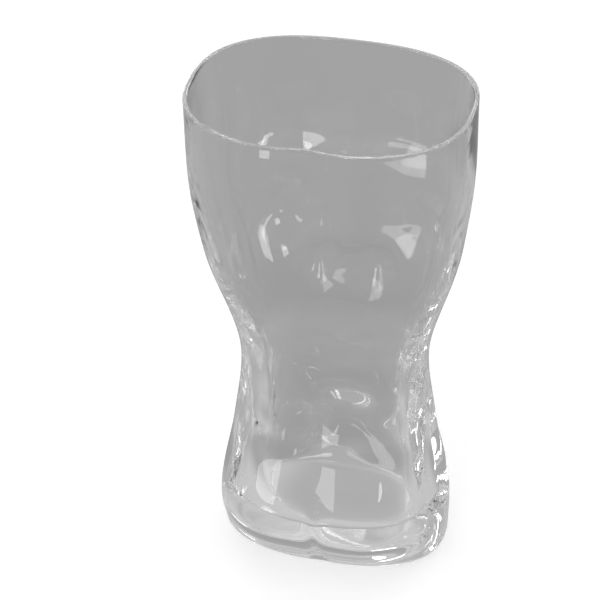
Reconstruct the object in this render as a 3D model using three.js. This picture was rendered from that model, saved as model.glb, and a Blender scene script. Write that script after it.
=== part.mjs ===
// Body-shaped shot glass: a male torso from hips to chest, blown in a mould as one piece of clear glass.
// Millimetres, +Z up. The origin is the middle of the foot, the chest side faces -Y and the back faces +Y.
import * as THREE from "three";

const { lerp, smoothstep } = THREE.MathUtils;

// Heights of the six levels above the foot, each measured from the level below it
const hipRise = 10;
const seatRise = 16;
const waistRise = 12.5;
const ribRise = 23;
const chestRise = 11;
const rimRise = 17.5;

// Outside widths, from the figure's left to its right
const footWidth = 39.6;
const hipWidth = 40;
const seatWidth = 34.6;
const waistWidth = 32;
const ribWidth = 43.1;
const chestWidth = 45.9;
const rimWidth = 47;

// Outside depths from the middle plane to the front
const footFront = 12.4;
const hipFront = 13.8;
const seatFront = 13.2;
const waistFront = 12.5;
const ribFront = 14.7;
const chestFront = 16.6;
const rimFront = 17.4;

// Outside depths from the middle plane to the back
const footBack = 11.6;
const hipBack = 17;
const seatBack = 14;
const waistBack = 11.1;
const ribBack = 16.6;
const chestBack = 18.5;
const rimBack = 18.5;

// Wall thickness on the figure's flanks, front and back. The wall is even from the ribs up.
const hipFlankWall = 6.6;
const seatFlankWall = 5;
const waistFlankWall = 3.2;
const hipFrontWall = 9;
const seatFrontWall = 6.2;
const waistFrontWall = 3.2;
const hipBackWall = 7.4;
const seatBackWall = 5.5;
const waistBackWall = 3;
const ribWall = 1.7;
const chestWall = 1.2;
const rimWall = 0.7;

// The solid bottom and the rounded edges
const floorThickness = 9.6;
const floorRadius = 1.2;
const footRadius = 2.6;

// How square the sections are: 2 is an ellipse, and a higher number fills the corners
const bodySquareness = 2.36;
const rimSquareness = 2.5;

// Share of the outside relief that shows on the inside of the wall
const rimFollow = 0.8;
const footFollow = 0.4;

// Front relief: distance from the middle line, spread across, upwards and downwards, and how far it stands out
const pectoralOut = 9.8;
const pectoralAcross = 10.5;
const pectoralUp = 10;
const pectoralDown = 5;
const pectoralProud = 2.1;

const flankBelowRib = 4.2;
const flankOut = 13;
const flankAcross = 5.9;
const flankUp = 7.3;
const flankDown = 5.9;
const flankProud = 2.8;

const abdominalRows = 3;
const abdominalPitch = 8.6;
const abdominalAboveWaist = 8.8;
const abdominalOut = 4;
const abdominalSpread = 4;
const abdominalProud = 2.05;
const abdominalEasing = 0.67;

const breastLineBelowRib = 3.5;
const breastLineFade = 6;
const breastLineSpread = 2.6;
const breastLineDepth = 0.8;

const groinAboveHip = 3;
const groinAcross = 6.4;
const groinUp = 7.2;
const groinProud = 1.4;

const loinLineFade = 4.3;
const loinLineOut = 8;
const loinLineSlope = 1.1;
const loinLineSpread = 2.6;
const loinLineDepth = 0.3;

// Back relief, in the same order
const bladeBelowChest = 2.5;
const bladeOut = 10;
const bladeAcross = 6.4;
const bladeUp = 9.5;
const bladeProud = 0.6;

const spineSpread = 4.4;
const spineDepth = 1;

const buttockAboveHip = 2;
const buttockOut = 9.4;
const buttockAcross = 7.4;
const buttockUp = 14;
const buttockDown = 6;
const buttockProud = 2.2;

const cleftAboveHip = 14;
const cleftSpread = 1.5;
const cleftDepth = 0.9;

// Facets, and how strongly the points gather at the middle lines of front and back
const pointsAround = 72;
const gathering = 0.28;
const outerRows = 32;
const innerRows = 26;
const cornerRows = 4;

// Levels, from the foot to the rim
const hipHeight = hipRise;
const seatHeight = hipHeight + seatRise;
const waistHeight = seatHeight + waistRise;
const ribHeight = waistHeight + ribRise;
const chestHeight = ribHeight + chestRise;
const rimHeight = chestHeight + rimRise;
const levels = [0, hipHeight, seatHeight, waistHeight, ribHeight, chestHeight, rimHeight];

// A smooth curve of one size over the height. It passes through the size at every level and starts upright.
function overHeight(...sizes) {
  const steps = levels.slice(1).map((level, i) => (sizes[i + 1] - sizes[i]) / (level - levels[i]));
  const slopes = levels.map((level, i) => {
    if (i === 0) return 0;
    if (i === levels.length - 1) return steps[i - 1];
    const below = level - levels[i - 1];
    const above = levels[i + 1] - level;
    return (steps[i - 1] * above + steps[i] * below) / (below + above);
  });
  return (z) => {
    const i = Math.max(0, levels.findLastIndex((level, k) => z >= level && k < levels.length - 1));
    const span = levels[i + 1] - levels[i];
    const t = (z - levels[i]) / span;
    const start = (2 * t - 3) * t * t + 1;
    const leave = ((t - 2) * t + 1) * t;
    const arrive = (t - 1) * t * t;
    const bend = span * (leave * slopes[i] + arrive * slopes[i + 1]);
    return start * sizes[i] + (1 - start) * sizes[i + 1] + bend;
  };
}

const wallAt = (hip, seat, waist) => overHeight(hip, hip, seat, waist, ribWall, chestWall, rimWall);

const widthAt = overHeight(footWidth, hipWidth, seatWidth, waistWidth, ribWidth, chestWidth, rimWidth);
const frontAt = overHeight(footFront, hipFront, seatFront, waistFront, ribFront, chestFront, rimFront);
const backAt = overHeight(footBack, hipBack, seatBack, waistBack, ribBack, chestBack, rimBack);
const flankWallAt = wallAt(hipFlankWall, seatFlankWall, waistFlankWall);
const frontWallAt = wallAt(hipFrontWall, seatFrontWall, waistFrontWall);
const backWallAt = wallAt(hipBackWall, seatBackWall, waistBackWall);
const squarenessAt = overHeight(
  bodySquareness, bodySquareness, bodySquareness, bodySquareness, bodySquareness,
  rimSquareness, rimSquareness,
);
const followAt = (z) => lerp(footFollow, rimFollow, z / rimHeight);

// Relief of the skin at x across and z up
const bell = (distance, spread) => Math.exp(-((distance / spread) ** 2));
const pair = (x, out, spread) => bell(x - out, spread) + bell(x + out, spread);
const swell = (rise, up, down) => bell(rise, rise < 0 ? down : up);
const between = (z, low, high, fade) =>
  smoothstep(z, low - fade, low + fade) - smoothstep(z, high - fade, high + fade);

function pectorals(x, z) {
  return pectoralProud * pair(x, pectoralOut, pectoralAcross) * swell(z - chestHeight, pectoralUp, pectoralDown);
}

function flanks(x, z) {
  const rise = z - (ribHeight - flankBelowRib);
  return flankProud * pair(x, flankOut, flankAcross) * swell(rise, flankUp, flankDown);
}

// Each row of the belly stands out less than the row below it
function abdominals(x, z) {
  let height = waistHeight + abdominalAboveWaist;
  let proud = abdominalProud;
  let sum = 0;
  for (let row = 0; row < abdominalRows; row++) {
    sum += proud * pair(x, abdominalOut, abdominalSpread) * bell(z - height, abdominalSpread);
    height += abdominalPitch;
    proud *= abdominalEasing;
  }
  return sum;
}

function breastLine(x, z) {
  const high = ribHeight - breastLineBelowRib;
  return breastLineDepth * bell(x, breastLineSpread) * between(z, waistHeight, high, breastLineFade);
}

const groinHeight = hipHeight + groinAboveHip;

function groin(x, z) {
  return groinProud * bell(x, groinAcross) * bell(z - groinHeight, groinUp);
}

function loinLines(x, z) {
  const above = z - groinHeight - (Math.abs(x) - loinLineOut) * loinLineSlope;
  const across = above / Math.hypot(1, loinLineSlope);
  return loinLineDepth * bell(across, loinLineSpread) * between(z, groinHeight, waistHeight, loinLineFade);
}

function blades(x, z) {
  const rise = z - (chestHeight - bladeBelowChest);
  return bladeProud * pair(x, bladeOut, bladeAcross) * bell(rise, bladeUp);
}

function buttocks(x, z) {
  const rise = z - (hipHeight + buttockAboveHip);
  return buttockProud * pair(x, buttockOut, buttockAcross) * swell(rise, buttockUp, buttockDown);
}

function spine(x, z) {
  return spineDepth * bell(x, spineSpread) * smoothstep(z, groinHeight, waistHeight);
}

// The cleft between the buttocks is pressed into the outside alone, and dies out at the foot
function cleft(x, z) {
  const height = smoothstep(z, 0, footRadius) - smoothstep(z, hipHeight, hipHeight + cleftAboveHip);
  return cleftDepth * bell(x, cleftSpread) * height;
}

// Facing is -1 straight to the front and +1 straight to the back
function relief(x, z, facing) {
  if (facing < 0) {
    const front = pectorals(x, z) + flanks(x, z) + abdominals(x, z) + groin(x, z);
    return -facing * (front - breastLine(x, z) - loinLines(x, z));
  }
  return facing * (blades(x, z) + buttocks(x, z) - spine(x, z));
}

// One closed ring of the skin at height z, drawn in by the insets, with shares of the relief and the cleft
function ring(z, insets, share, cleftShare = 0) {
  const power = 2 / squarenessAt(z);
  const halfWidth = widthAt(z) / 2 - insets.flank;
  const front = frontAt(z) - insets.front;
  const back = backAt(z) - insets.back;
  return Array.from({ length: pointsAround }, (_, i) => {
    const turn = (2 * Math.PI * i) / pointsAround;
    const angle = turn + gathering * Math.sin(2 * turn);
    const cos = Math.cos(angle);
    const sin = Math.sin(angle);
    const halfDepth = sin < 0 ? front : back;
    const x = halfWidth * Math.sign(cos) * Math.abs(cos) ** power;
    const y = halfDepth * Math.sign(sin) * Math.abs(sin) ** power;
    const normal = new THREE.Vector2(
      Math.sign(cos) * Math.abs(cos) ** (2 - power) / halfWidth,
      Math.sign(sin) * Math.abs(sin) ** (2 - power) / halfDepth,
    ).normalize();
    const proud = share * relief(x, z, normal.y) - cleftShare * Math.max(0, normal.y) * cleft(x, z);
    return new THREE.Vector3(x + normal.x * proud, y + normal.y * proud, z);
  });
}

const evenInsets = (inset) => ({ flank: inset, front: inset, back: inset });
const wallInsets = (z, extra = 0) => ({
  flank: flankWallAt(z) + extra,
  front: frontWallAt(z) + extra,
  back: backWallAt(z) + extra,
});

// The rings run from the foot up the outside, over the rim and down the inside to the floor
function footRings() {
  return Array.from({ length: cornerRows + 1 }, (_, i) => {
    const turn = (Math.PI / 2) * (i / cornerRows);
    const inset = footRadius * (1 - Math.sin(turn));
    return ring(footRadius * (1 - Math.cos(turn)), evenInsets(inset), 1, 1);
  });
}

function outerRings() {
  const lip = rimHeight - rimWall / 2;
  return Array.from({ length: outerRows }, (_, i) => {
    return ring(lerp(footRadius, lip, (i + 1) / outerRows), evenInsets(0), 1, 1);
  });
}

function rimRings() {
  const bead = rimWall / 2;
  return Array.from({ length: cornerRows - 1 }, (_, i) => {
    const turn = Math.PI * ((i + 1) / cornerRows);
    const inset = bead * (1 - Math.cos(turn));
    const share = lerp(1, rimFollow, inset / rimWall);
    return ring(rimHeight - bead + bead * Math.sin(turn), evenInsets(inset), share);
  });
}

function innerRings() {
  const lip = rimHeight - rimWall / 2;
  return Array.from({ length: innerRows + 1 }, (_, i) => {
    const z = lerp(lip, floorThickness + floorRadius, i / innerRows);
    return ring(z, wallInsets(z), followAt(z));
  });
}

function floorRings() {
  return Array.from({ length: cornerRows }, (_, i) => {
    const turn = (Math.PI / 2) * ((i + 1) / cornerRows);
    const z = floorThickness + floorRadius * (1 - Math.sin(turn));
    return ring(z, wallInsets(z, floorRadius * (1 - Math.cos(turn))), followAt(z));
  });
}

// A closed skin through the rings, with a fan to the middle at each end
function loft(rings, firstCentre, lastCentre) {
  const points = [firstCentre, ...rings.flat(), lastCentre];
  const triangles = [];
  const at = (row, i) => 1 + row * pointsAround + (i % pointsAround);
  const last = rings.length - 1;
  for (let i = 0; i < pointsAround; i++) {
    triangles.push(0, at(0, i + 1), at(0, i));
    for (let row = 0; row < last; row++) {
      triangles.push(at(row, i), at(row, i + 1), at(row + 1, i + 1));
      triangles.push(at(row, i), at(row + 1, i + 1), at(row + 1, i));
    }
    triangles.push(points.length - 1, at(last, i), at(last, i + 1));
  }
  const geometry = new THREE.BufferGeometry().setFromPoints(points);
  geometry.setIndex(triangles);
  geometry.computeVertexNormals();
  return geometry;
}

const clearGlass = new THREE.MeshStandardMaterial({
  color: 0xe6eaeb,
  roughness: 0.03,
  metalness: 0,
  transparent: true,
  opacity: 0.35,
});

const torsoGlass = new THREE.Mesh(
  loft(
    [...footRings(), ...outerRings(), ...rimRings(), ...innerRings(), ...floorRings()],
    new THREE.Vector3(0, 0, 0),
    new THREE.Vector3(0, 0, floorThickness),
  ),
  clearGlass,
);
torsoGlass.name = "torso_glass";

const shotGlass = new THREE.Group();
shotGlass.name = "shot_glass";
shotGlass.add(torsoGlass);

export default shotGlass;
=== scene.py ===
import math
import bpy
import numpy as np
from mathutils import Matrix, Vector


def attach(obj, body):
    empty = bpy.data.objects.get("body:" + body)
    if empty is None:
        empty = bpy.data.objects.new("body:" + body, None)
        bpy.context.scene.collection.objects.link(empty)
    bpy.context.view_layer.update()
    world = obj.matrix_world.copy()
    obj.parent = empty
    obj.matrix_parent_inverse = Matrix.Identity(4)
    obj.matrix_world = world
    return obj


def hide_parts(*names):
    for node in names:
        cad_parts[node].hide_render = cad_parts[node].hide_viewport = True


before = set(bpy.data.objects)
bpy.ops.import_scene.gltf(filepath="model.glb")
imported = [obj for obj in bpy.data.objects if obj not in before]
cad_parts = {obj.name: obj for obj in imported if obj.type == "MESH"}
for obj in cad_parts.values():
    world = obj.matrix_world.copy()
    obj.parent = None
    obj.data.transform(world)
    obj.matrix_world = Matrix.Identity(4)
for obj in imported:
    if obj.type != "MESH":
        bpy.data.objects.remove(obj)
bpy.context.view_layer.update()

mm = 0.001

# Torso: sizes in millimetres. Lists run over the levels: foot, hips, seat, waist, ribs, chest, rim.
torso = {
    "levels": (0, 10, 26, 38.5, 61.5, 72.5, 90),
    "widths": (39.6, 40.0, 34.6, 32.0, 43.1, 45.9, 47.0),
    "fronts": (12.4, 13.8, 13.2, 12.5, 14.7, 16.6, 17.4),  # middle plane to the chest side, -Y
    "backs": (11.6, 17.0, 14.0, 11.1, 16.6, 18.5, 18.5),  # middle plane to the back, +Y
    "flankWalls": (6.6, 6.6, 5.0, 3.2, 1.7, 1.2, 0.7),
    "frontWalls": (9.0, 9.0, 6.2, 3.2, 1.7, 1.2, 0.7),
    "backWalls": (7.4, 7.4, 5.5, 3.0, 1.7, 1.2, 0.7),
    "squareness": (2.36, 2.36, 2.36, 2.36, 2.36, 2.5, 2.5),  # 2 is an ellipse, more fills the corners
    "rimWall": 0.7,
    "floorThickness": 9.6,
    "floorRadius": 1.2,
    "footRadius": 2.6,
    "rimFollow": 0.8,  # share of the outside relief that shows inside, at the rim and at the foot
    "footFollow": 0.4,
    # swellings and grooves: out from the middle line, height, spread each way, and how proud or deep
    "pectoral": {"out": 9.9, "height": 72.4, "across": 10.3, "up": 10, "down": 4.8, "proud": 2.1},
    "rib": {"out": 12.9, "height": 57, "across": 6.2, "up": 7.3, "down": 5.9, "proud": 2.8},
    "abdominal": {"out": 4.1, "lowest": 47, "pitch": 8.3, "rows": 3, "spread": 4.2, "proud": 2.15},
    "abdominalEasing": 0.73,  # how proud each row is, as a share of the row below it
    "breastLine": {"low": 38.5, "high": 58, "fade": 6, "spread": 2.8, "depth": 0.8},
    "groin": {"height": 13, "across": 6.4, "up": 7.2, "proud": 1.4},
    "loinLine": {"out": 8, "slope": 1.1, "low": 13, "high": 38.5, "fade": 4.3, "spread": 2.6, "depth": 0.3},
    "blade": {"out": 10, "height": 70, "across": 6.4, "up": 9.5, "down": 9.5, "proud": 0.6},
    "spine": {"spread": 4.4, "depth": 1, "low": 13, "high": 38.5},
    "buttock": {"out": 9.4, "height": 12, "across": 7.4, "up": 14, "down": 6, "proud": 2.2},
    "cleft": {"spread": 1.5, "depth": 0.9, "low": 10, "high": 24},
    # counts of points round each ring, and of rings along the profile
    "columns": 288,
    "discRows": 10,
    "footRows": 14,
    "outerRows": 150,
    "rimRows": 10,
    "innerRows": 120,
    "floorRows": 14,
}


def overHeight(sizes, z):
    # a cubic Hermite curve through one size per level: upright at the foot, at the levels between the
    # weighted mean of the slopes on each side, and at the rim the last slope
    levels = np.array(torso["levels"], float)
    sizes = np.array(sizes, float)
    gaps = np.diff(levels)
    steps = np.diff(sizes) / gaps
    slopes = np.zeros(len(sizes))
    slopes[1:-1] = (steps[:-1] * gaps[1:] + steps[1:] * gaps[:-1]) / (gaps[:-1] + gaps[1:])
    slopes[-1] = steps[-1]
    i = np.clip(np.searchsorted(levels, z, "right") - 1, 0, len(gaps) - 1)
    t = (z - levels[i]) / gaps[i]
    start = (2 * t - 3) * t * t + 1
    leave = ((t - 2) * t + 1) * t
    arrive = (t - 1) * t * t
    bend = gaps[i] * (leave * slopes[i] + arrive * slopes[i + 1])
    return start * sizes[i] + (1 - start) * sizes[i + 1] + bend


def bell(distance, spread):
    # 1 in the middle, falling off as e to the minus square of distance over spread
    return np.exp(-((distance / spread) ** 2))


def pair(x, out, spread):
    # one bell each side of the middle line
    return bell(x - out, spread) + bell(x + out, spread)


def smooth(z, low, high):
    # 0 below low, 1 above high, and 3t^2 - 2t^3 between them
    t = np.clip((z - low) / (high - low), 0, 1)
    return t * t * (3 - 2 * t)


def between(z, low, high, fade):
    # rises from 0 to 1 round low and falls back round high, each over twice the fade
    return smooth(z, low - fade, low + fade) - smooth(z, high - fade, high + fade)


def swelling(muscle, x, z):
    # on each side a bell across times a bell in height, whose spread differs above and below its middle
    up = np.where(z < muscle["height"], muscle["down"], muscle["up"])
    return muscle["proud"] * pair(x, muscle["out"], muscle["across"]) * bell(z - muscle["height"], up)


def frontRelief(x, z):
    # sum of bells for the chest, ribs, belly and groin, less the grooves between them
    relief = swelling(torso["pectoral"], x, z) + swelling(torso["rib"], x, z)
    belly = torso["abdominal"]
    for row in range(belly["rows"]):
        height = belly["lowest"] + row * belly["pitch"]
        proud = belly["proud"] * torso["abdominalEasing"] ** row
        relief = relief + proud * pair(x, belly["out"], belly["spread"]) * bell(z - height, belly["spread"])
    line = torso["breastLine"]
    run = between(z, line["low"], line["high"], line["fade"])
    relief = relief - line["depth"] * bell(x, line["spread"]) * run
    groin = torso["groin"]
    relief = relief + groin["proud"] * bell(x, groin["across"]) * bell(z - groin["height"], groin["up"])
    line = torso["loinLine"]
    run = between(z, line["low"], line["high"], line["fade"])
    off = (z - groin["height"] - (np.abs(x) - line["out"]) * line["slope"]) / math.hypot(1, line["slope"])
    return relief - line["depth"] * bell(off, line["spread"]) * run


def backRelief(x, z):
    # shoulder blades and buttocks stand out, and the spine is a groove
    relief = swelling(torso["blade"], x, z) + swelling(torso["buttock"], x, z)
    spine = torso["spine"]
    return relief - spine["depth"] * bell(x, spine["spread"]) * smooth(z, spine["low"], spine["high"])


def cleftDepth(x, z):
    # a groove in the outside alone, dying out at the foot and above the hips
    cleft = torso["cleft"]
    run = smooth(z, 0, torso["footRadius"]) - smooth(z, cleft["low"], cleft["high"])
    return cleft["depth"] * bell(x, cleft["spread"]) * run


def profileRows():
    # one row per ring, from the middle of the foot up the outside, over the rim and down to the cup's floor:
    # height, insets at flanks, front and back, share of the relief, share of the cleft, shrink to the middle
    height, rimWall, footRadius = torso["levels"][-1], torso["rimWall"], torso["footRadius"]
    floorThickness, floorRadius = torso["floorThickness"], torso["floorRadius"]
    rimFollow, footFollow = torso["rimFollow"], torso["footFollow"]
    bead = rimWall / 2
    lip = height - bead
    wallNames = ("flankWalls", "frontWalls", "backWalls")

    def run(z, insets, share, cleft, shrink):
        return np.stack(np.broadcast_arrays(z, *insets, share, cleft, shrink), axis=1).astype(float)

    def even(inset):
        return [inset] * len(wallNames)

    def walls(z):
        return [overHeight(torso[name], z) for name in wallNames]

    def follow(z):
        return footFollow + (rimFollow - footFollow) * z / height

    disc = np.linspace(0, 1, torso["discRows"] + 1)[1:-1]
    foot = run(0.0, even(footRadius), 1, 1, disc)
    turn = np.linspace(0, np.pi / 2, torso["footRows"])
    corner = run(footRadius * (1 - np.cos(turn)), even(footRadius * (1 - np.sin(turn))), 1, 1, 1)
    outer = run(np.linspace(footRadius, lip, torso["outerRows"] + 1)[1:], even(0), 1, 1, 1)
    turn = np.linspace(0, np.pi, torso["rimRows"] + 2)[1:-1]
    inset = bead * (1 - np.cos(turn))
    rim = run(lip + bead * np.sin(turn), even(inset), 1 + (rimFollow - 1) * inset / rimWall, 0, 1)
    z = np.linspace(lip, floorThickness + floorRadius, torso["innerRows"])
    inner = run(z, walls(z), follow(z), 0, 1)
    turn = np.linspace(0, np.pi / 2, torso["floorRows"] + 1)[1:]
    z = floorThickness + floorRadius * (1 - np.sin(turn))
    insets = [wall + floorRadius * (1 - np.cos(turn)) for wall in walls(z)]
    floor = run(z, insets, follow(z), 0, 1)
    middle = run(floorThickness, [inset[-1] for inset in insets], follow(z[-1]), 0, disc[::-1])
    return np.concatenate([foot, corner, outer, rim, inner, floor, middle])


def torsoPoints():
    # each ring is a superellipse |x/a|^n + |y/b|^n = 1, moved along its own normal by the relief
    rows = profileRows()
    z, flank, front, back, share, cleft, shrink = np.hsplit(rows, rows.shape[1])
    turn = np.linspace(0, 2 * np.pi, torso["columns"], endpoint=False)[None, :]
    cos, sin = np.cos(turn), np.sin(turn)
    power = 2 / overHeight(torso["squareness"], z)
    a = overHeight(torso["widths"], z) / 2 - flank
    b = np.where(sin < 0, overHeight(torso["fronts"], z) - front, overHeight(torso["backs"], z) - back)
    x = a * np.sign(cos) * np.abs(cos) ** power
    y = b * np.sign(sin) * np.abs(sin) ** power
    nx = np.sign(cos) * np.abs(cos) ** (2 - power) / a
    ny = np.sign(sin) * np.abs(sin) ** (2 - power) / b
    length = np.hypot(nx, ny)
    nx, ny = nx / length, ny / length
    relief = np.where(ny < 0, -ny * frontRelief(x, z), ny * backRelief(x, z))
    proud = share * relief - cleft * np.maximum(0, ny) * cleftDepth(x, z)
    x = (x + nx * proud) * shrink
    y = (y + ny * proud) * shrink
    return np.stack([x, y, np.broadcast_to(z, x.shape)], axis=2)


def addObject(name, data):
    thing = bpy.data.objects.new(name, data)
    bpy.context.scene.collection.objects.link(thing)
    return thing


def closedSkin(name, grid, firstPole, lastPole):
    # quads between neighbouring rings, and a fan of triangles to a pole at each end
    rows, columns = grid.shape[:2]
    points = np.concatenate([grid.reshape(-1, 3), [firstPole, lastPole]]) * mm
    first, last = rows * columns, rows * columns + 1
    here = np.arange(columns)
    after = (here + 1) % columns
    ring = (np.arange(rows - 1) * columns)[:, None]
    quads = np.stack([ring + here, ring + after, ring + after + columns, ring + here + columns], axis=2)
    lastRing = (rows - 1) * columns
    fans = np.concatenate([
        np.stack([np.full(columns, first), after, here], axis=1),
        np.stack([np.full(columns, last), lastRing + here, lastRing + after], axis=1),
    ])
    mesh = bpy.data.meshes.new(name)
    mesh.from_pydata(points.tolist(), [], quads.reshape(-1, 4).tolist() + fans.tolist())
    mesh.polygons.foreach_set("use_smooth", np.ones(len(mesh.polygons), bool))
    mesh.update()
    return addObject(name, mesh)


def feed(tree, slot, value):
    # a socket is linked to the slot, and a plain value is set on it
    if isinstance(value, bpy.types.NodeSocket):
        tree.links.new(value, slot)
    else:
        slot.default_value = value


def maths(tree, operation, *values, kind="ShaderNodeMath"):
    # one maths node, on sockets or plain values
    node = tree.nodes.new(kind)
    node.operation = operation
    for slot, value in zip(node.inputs, values):
        feed(tree, slot, value)
    return node.outputs["Value"]


def smoothStep(tree, value, edges, first, last):
    # first below the lower edge, last above the upper one, and a smooth step between them
    node = tree.nodes.new("ShaderNodeMapRange")
    node.interpolation_type = "SMOOTHSTEP"
    wanted = {"Value": value, "From Min": edges[0], "From Max": edges[1], "To Min": first, "To Max": last}
    for name, setting in wanted.items():
        feed(tree, node.inputs[name], setting)
    return node.outputs["Result"]


# Glass: depths and distances in millimetres, noise scales in waves to the metre
glass = {
    "tint": (0.99, 0.99, 0.99, 1),
    "bend": 1.5,  # index of refraction
    "roughness": 0,
    "waveScale": 90,  # broad waves from the mould, all over
    "waveDetail": 1,
    "waveDepth": 0.05,
    "streakScale": 750,  # drawn streaks in the thick flanks
    "streakDetail": 0,
    "streakStretch": 0.035,  # how much of that scale is left along the height
    "streakDepth": 0.05,
    "streakOut": (9, 17),  # starts and is full at these distances from the middle
    "streakTop": (30, 48),  # full below the first height, gone above the second
}


def clearGlass():
    # clear glass with a wavy skin: the streaks' bump lies over the broad waves' bump
    material = bpy.data.materials.new("clearGlass")
    material.use_nodes = True
    tree = material.node_tree
    nodes, links = tree.nodes, tree.links
    shader = nodes["Principled BSDF"]
    shader.inputs["Base Color"].default_value = glass["tint"]
    shader.inputs["Transmission Weight"].default_value = 1
    shader.inputs["Metallic"].default_value = 0
    shader.inputs["IOR"].default_value = glass["bend"]
    shader.inputs["Roughness"].default_value = glass["roughness"]
    place = nodes.new("ShaderNodeTexCoord").outputs["Object"]
    waves = nodes.new("ShaderNodeTexNoise")
    waves.inputs["Scale"].default_value = glass["waveScale"]
    waves.inputs["Detail"].default_value = glass["waveDetail"]
    links.new(place, waves.inputs["Vector"])
    stretch = nodes.new("ShaderNodeMapping")
    stretch.inputs["Scale"].default_value = (1, 1, glass["streakStretch"])
    links.new(place, stretch.inputs["Vector"])
    streaks = nodes.new("ShaderNodeTexNoise")
    streaks.inputs["Scale"].default_value = glass["streakScale"]
    streaks.inputs["Detail"].default_value = glass["streakDetail"]
    links.new(stretch.outputs["Vector"], streaks.inputs["Vector"])
    parts = nodes.new("ShaderNodeSeparateXYZ")
    links.new(place, parts.inputs["Vector"])
    fromMiddle = maths(tree, "ABSOLUTE", parts.outputs["X"])
    flank = smoothStep(tree, fromMiddle, [edge * mm for edge in glass["streakOut"]], 0, 1)
    low = smoothStep(tree, parts.outputs["Z"], [edge * mm for edge in glass["streakTop"]], 1, 0)
    lowFlank = maths(tree, "MULTIPLY", flank, low)
    broad = nodes.new("ShaderNodeBump")
    broad.inputs["Distance"].default_value = glass["waveDepth"] * mm
    links.new(waves.outputs["Fac"], broad.inputs["Height"])
    fine = nodes.new("ShaderNodeBump")
    fine.inputs["Distance"].default_value = glass["streakDepth"] * mm
    links.new(maths(tree, "MULTIPLY", streaks.outputs["Fac"], lowFlank), fine.inputs["Height"])
    links.new(broad.outputs["Normal"], fine.inputs["Normal"])
    links.new(fine.outputs["Normal"], shader.inputs["Normal"])
    return material


torsoGlass = closedSkin(
    "torso_glass_blown",
    torsoPoints(),
    (0, 0, 0),
    (0, 0, torso["floorThickness"]),
)
torsoGlass.data.materials.append(clearGlass())
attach(torsoGlass, "root")
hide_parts("torso_glass")
print("torso glass:", len(torsoGlass.data.polygons), "faces")

# Camera: the glass is seen from behind, from above and a little from its right-hand side
view = {
    "turn": 14.8,  # degrees round from straight behind, towards -X
    "rise": 36.0,
    "roll": -0.77,
    "distance": 450,  # millimetres, as is the height that it looks at
    "aimHeight": 45,
    "focalPixels": 2662,
    "framePixels": 600,
    "middleAt": (334.3, 321.3),  # pixel of the photograph where the middle of the glass stands
    "sensor": 36,  # millimetres
    "clip": (0.01, 100),  # metres
}
aimPoint = Vector((0, 0, view["aimHeight"] * mm))


def outward(turn, rise):
    # unit vector away from the glass, by degrees round from straight behind and up from the floor
    turn, rise = math.radians(turn), math.radians(rise)
    return Vector((-math.sin(turn) * math.cos(rise), math.cos(turn) * math.cos(rise), math.sin(rise)))


def facing(away):
    # turns a camera or a lamp back along that vector, upright
    return (-away).to_track_quat("-Z", "Y").to_matrix().to_4x4()


def addCamera():
    camera = bpy.data.cameras.new("camera")
    camera.sensor_width = view["sensor"]
    camera.lens = view["focalPixels"] / view["framePixels"] * view["sensor"]
    half = view["framePixels"] / 2
    camera.shift_x = (half - view["middleAt"][0]) / view["framePixels"]
    camera.shift_y = (view["middleAt"][1] - half) / view["framePixels"]
    camera.clip_start, camera.clip_end = view["clip"]
    away = outward(view["turn"], view["rise"])
    rolled = Matrix.Rotation(math.radians(view["roll"]), 4, "Z")
    seat = addObject("camera", camera)
    seat.matrix_world = Matrix.Translation(aimPoint + away * view["distance"] * mm) @ facing(away) @ rolled
    bpy.context.scene.camera = seat


addCamera()
print("camera set")

# Stage: a pale floor and room that the lens sees as white, and that show grey through the
# glass, as a studio sweep does, with painted light on the floor round the foot. Lengths are in metres.
stage = {
    "floorSide": 8,
    "floorDrop": 0.00015,  # a film of air, because a foot touches the floor only here and there
    "floorWhite": (0.82, 0.82, 0.82, 1),
    "floorGlow": 0.46,
    # the floor's greys through the glass: under the foot and round it, lighter as painted light that the
    # glass lets through, behind it and far behind it
    "paintedLightUnder": 0.42,
    "paintedLightRound": 0.58,
    "greyBehind": 0.325,
    "greyFar": 0.365,
    "greyAside": 0.08,  # added to the others, out to the sides
    # where each grey gives way to the next, out from the middle of the foot
    "underEdges": (0.008, 0.018),
    "roundEdges": (0.03, 0.042),
    "behindEdges": (0.006, 0.022),  # measured away from the lens
    "farEdges": (0.04, 0.09),
    "asideEdges": (0.025, 0.06),  # measured out from the line of sight
    "worldWhite": (1, 1, 1, 1),
    "worldFill": (0.64, 0.64, 0.64, 1),  # what lights the floor
    # sine of the height above the horizon, and the grey of the room there
    "roomGreys": (
        (0, 0.58), (0.1, 0.56), (0.28, 0.36), (0.55, 0.4), (0.8, 0.56), (0.93, 0.58), (0.97, 0.82),
    ),
    "bounces": 32,  # light runs a long way inside a glass wall before it comes out
}


def raysFromGlass(tree):
    # 1 for rays that the glass has mirrored or let through, 0 for the rest
    path = tree.nodes.new("ShaderNodeLightPath")
    return maths(tree, "MAXIMUM", path.outputs["Is Glossy Ray"], path.outputs["Is Transmission Ray"])


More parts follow.
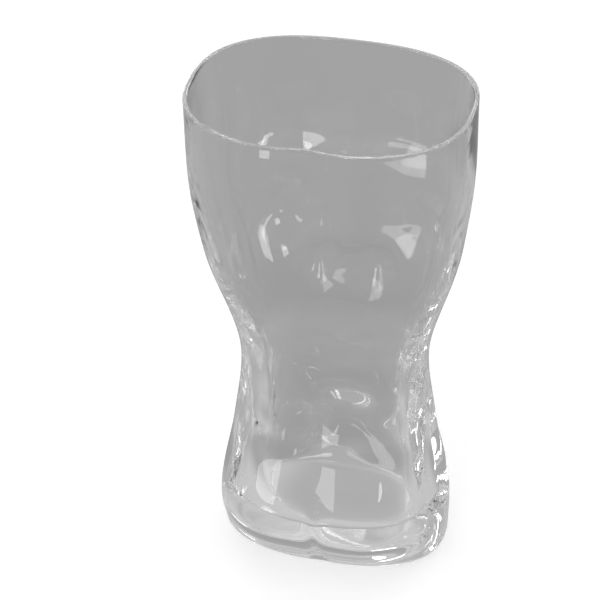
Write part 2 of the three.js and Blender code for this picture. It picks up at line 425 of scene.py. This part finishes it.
def floorGrey(tree):
    # grey under the foot and lighter round it, painted light that the glass lets through onto the floor;
    # darker behind it, and a little lighter to the sides
    place = tree.nodes.new("ShaderNodeTexCoord").outputs["Object"]
    turn = math.radians(view["turn"])
    away, beside = (math.sin(turn), -math.cos(turn), 0), (math.cos(turn), math.sin(turn), 0)
    radius = maths(tree, "LENGTH", place, kind="ShaderNodeVectorMath")
    back = maths(tree, "DOT_PRODUCT", place, away, kind="ShaderNodeVectorMath")
    side = maths(tree, "DOT_PRODUCT", place, beside, kind="ShaderNodeVectorMath")
    # painted light: under and round the foot the floor is lighter than behind it
    under = smoothStep(tree, radius, stage["underEdges"], stage["paintedLightUnder"], stage["paintedLightRound"])
    around = smoothStep(tree, radius, stage["roundEdges"], under, stage["greyBehind"])
    far = smoothStep(tree, back, stage["farEdges"], stage["greyBehind"], stage["greyFar"])
    behind = smoothStep(tree, back, stage["behindEdges"], around, far)
    aside = smoothStep(tree, maths(tree, "ABSOLUTE", side), stage["asideEdges"], 0, stage["greyAside"])
    return maths(tree, "ADD", behind, aside)


def studioFloor():
    # pale and matt, with a glow of its own, and the greys instead where the glass shows it, with painted
    # light round the foot
    material = bpy.data.materials.new("studioFloor")
    material.use_nodes = True
    tree = material.node_tree
    nodes, links = tree.nodes, tree.links
    nodes.clear()
    matt = nodes.new("ShaderNodeBsdfDiffuse")
    matt.inputs["Color"].default_value = stage["floorWhite"]
    glow = nodes.new("ShaderNodeEmission")
    glow.inputs["Strength"].default_value = stage["floorGlow"]
    pale = nodes.new("ShaderNodeAddShader")
    links.new(matt.outputs[0], pale.inputs[0])
    links.new(glow.outputs[0], pale.inputs[1])
    through = nodes.new("ShaderNodeEmission")
    links.new(floorGrey(tree), through.inputs["Strength"])
    look = nodes.new("ShaderNodeMixShader")
    links.new(raysFromGlass(tree), look.inputs[0])
    links.new(pale.outputs[0], look.inputs[1])
    links.new(through.outputs[0], look.inputs[2])
    surface = nodes.new("ShaderNodeOutputMaterial")
    links.new(look.outputs[0], surface.inputs["Surface"])
    return material


def addFloor():
    half, z = stage["floorSide"] / 2, -stage["floorDrop"]
    corners = [(-half, -half, z), (half, -half, z), (half, half, z), (-half, half, z)]
    mesh = bpy.data.meshes.new("floor")
    mesh.from_pydata(corners, [], [(0, 1, 2, 3)])
    mesh.materials.append(studioFloor())
    floor = addObject("floor", mesh)


def mixed(tree, share, one, other):
    # one colour at share 0, the other at share 1
    node = tree.nodes.new("ShaderNodeMix")
    node.data_type = "RGBA"
    shareSlot, oneSlot, otherSlot, result = 0, 6, 7, 2  # this node has one set of sockets per data type
    feed(tree, node.inputs[shareSlot], share)
    feed(tree, node.inputs[oneSlot], one)
    feed(tree, node.inputs[otherSlot], other)
    return node.outputs[result]


def addWorld():
    # through the glass: a pale sweep low down, a dim room above it and a lit ceiling
    world = bpy.data.worlds.new("studio")
    bpy.context.scene.world = world
    world.use_nodes = True
    tree = world.node_tree
    nodes, links = tree.nodes, tree.links
    nodes.clear()
    parts = nodes.new("ShaderNodeSeparateXYZ")
    links.new(nodes.new("ShaderNodeTexCoord").outputs["Generated"], parts.inputs["Vector"])
    room = nodes.new("ShaderNodeValToRGB")
    stops = room.color_ramp.elements
    while len(stops) < len(stage["roomGreys"]):
        stops.new(1)
    for stop, (height, grey) in zip(stops, stage["roomGreys"]):
        stop.position = height
        stop.color = (grey, grey, grey, 1)
    links.new(parts.outputs["Z"], room.inputs["Fac"])
    through = mixed(tree, raysFromGlass(tree), stage["worldFill"], room.outputs["Color"])
    lens = nodes.new("ShaderNodeLightPath").outputs["Is Camera Ray"]
    sky = nodes.new("ShaderNodeBackground")
    links.new(mixed(tree, lens, through, stage["worldWhite"]), sky.inputs["Color"])
    surround = nodes.new("ShaderNodeOutputWorld")
    links.new(sky.outputs[0], surround.inputs["Surface"])


# Softboxes: turn from straight behind the glass towards -X and rise in degrees, distance and size in metres
softboxes = {
    "cameraBox": {"turn": -1.8, "rise": 21.7, "distance": 0.7, "size": (0.19, 0.195), "watts": 0.7},
    "leftBox": {"turn": -42.4, "rise": 8, "distance": 0.7, "size": (0.3, 0.27), "watts": 0.85},
    "rightBox": {"turn": 51, "rise": 3.8, "distance": 0.7, "size": (0.14, 0.08), "watts": 0.23},
    "sideBox": {"turn": 91, "rise": 0.8, "distance": 0.7, "size": (0.245, 0.07), "watts": 0.32},
    "lowCard": {"turn": -24, "rise": 1.5, "distance": 0.7, "size": (0.15, 0.1), "watts": 0.15},
    "chestBoxLeft": {"turn": 157, "rise": 11, "distance": 0.7, "size": (0.2, 0.18), "watts": 0.4},
    "chestBoxRight": {"turn": -144, "rise": 12, "distance": 0.7, "size": (0.2, 0.2), "watts": 0.44},
}


def addSoftboxes():
    for name, box in softboxes.items():
        light = bpy.data.lights.new(name, "AREA")
        light.shape = "RECTANGLE"
        light.size, light.size_y = box["size"]
        light.energy = box["watts"]
        away = outward(box["turn"], box["rise"])
        lamp = addObject(name, light)
        lamp.matrix_world = Matrix.Translation(aimPoint + away * box["distance"]) @ facing(away)


addFloor()
addWorld()
addSoftboxes()
bpy.context.scene.view_settings.view_transform = "Standard"
rays = bpy.context.scene.cycles
rays.max_bounces = stage["bounces"]
rays.glossy_bounces = stage["bounces"]
rays.transmission_bounces = stage["bounces"]
print("stage and lights set")
